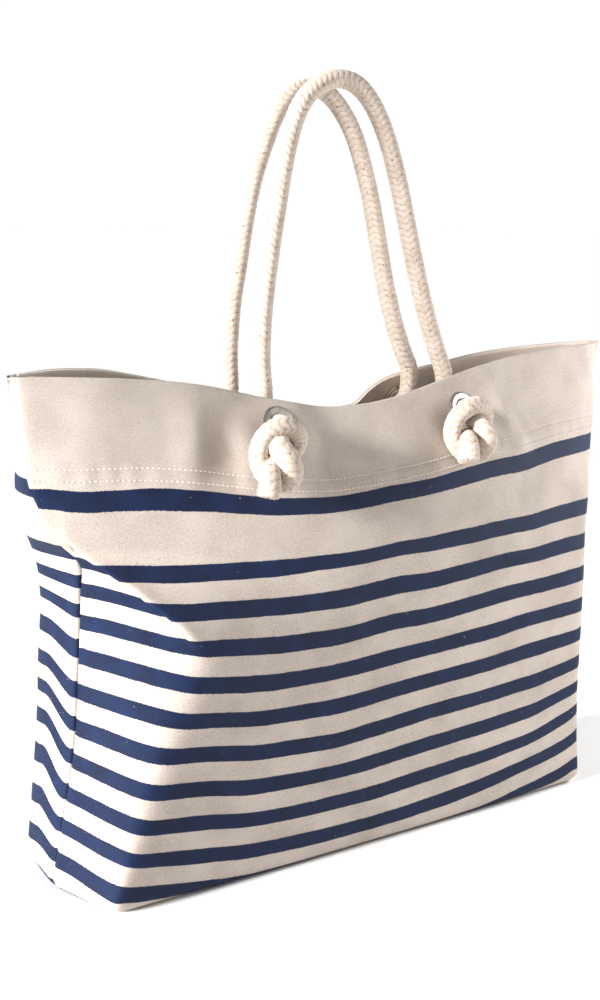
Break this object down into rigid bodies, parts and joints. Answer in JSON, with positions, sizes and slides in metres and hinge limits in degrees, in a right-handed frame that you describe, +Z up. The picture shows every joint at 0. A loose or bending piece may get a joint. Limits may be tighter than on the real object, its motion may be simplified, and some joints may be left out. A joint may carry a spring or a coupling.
{
  "type": "weekender tote bag",
  "caption": "Open canvas weekender tote with boxed base, doubled rim band, metal eyelets and knotted braided rope handles that swing outwards.",
  "frame": {"origin": "centre of the footprint on the surface the bag stands on", "axes": "+Z up, +X towards the right-hand end seen from the front, front panel faces -Y"},
  "size_m": [0.5686, 0.1512, 0.5537],
  "materials": {
    "printed_canvas": "cotton canvas with navy printed stripes",
    "plain_canvas": "unprinted cotton canvas",
    "binding_tape": "woven cotton tape",
    "thread": "cotton sewing thread",
    "rope": "braided cotton rope with dark flecks",
    "nickel": "polished nickel plate",
    "nickel_washer": "satin nickel plate"
  },
  "bodies": {
    "bag": {"front_panel": "printed_canvas", "back_panel": "printed_canvas", "front_hem_facing": "plain_canvas", "back_hem_facing": "plain_canvas", "left_side_seam_binding": "binding_tape", "right_side_seam_binding": "binding_tape", "base_seam_binding": "binding_tape", "left_boxing_seam_binding": "binding_tape", "right_boxing_seam_binding": "binding_tape", "front_hem_stitching": "thread", "back_hem_stitching": "thread", "front_left_eyelet": "nickel", "front_right_eyelet": "nickel", "back_left_eyelet": "nickel", "back_right_eyelet": "nickel", "front_left_washer": "nickel_washer", "front_right_washer": "nickel_washer", "back_left_washer": "nickel_washer", "back_right_washer": "nickel_washer", "front_left_knot": "rope", "front_right_knot": "rope", "back_left_knot": "rope", "back_right_knot": "rope"},
    "front_handle": {"front_handle_rope": "rope"},
    "back_handle": {"back_handle_rope": "rope"}
  },
  "joints": [
    {"name": "front_handle_swing", "type": "hinge", "parent": "bag", "child": "front_handle", "pos_m": [0, -0.02818, 0.33478], "axis": [1, 0, 0], "range_deg": [-2.5, 122]},
    {"name": "back_handle_swing", "type": "hinge", "parent": "bag", "child": "back_handle", "pos_m": [0, 0.02818, 0.33478], "axis": [-1, 0, 0], "range_deg": [-7, 113]}
  ]
}
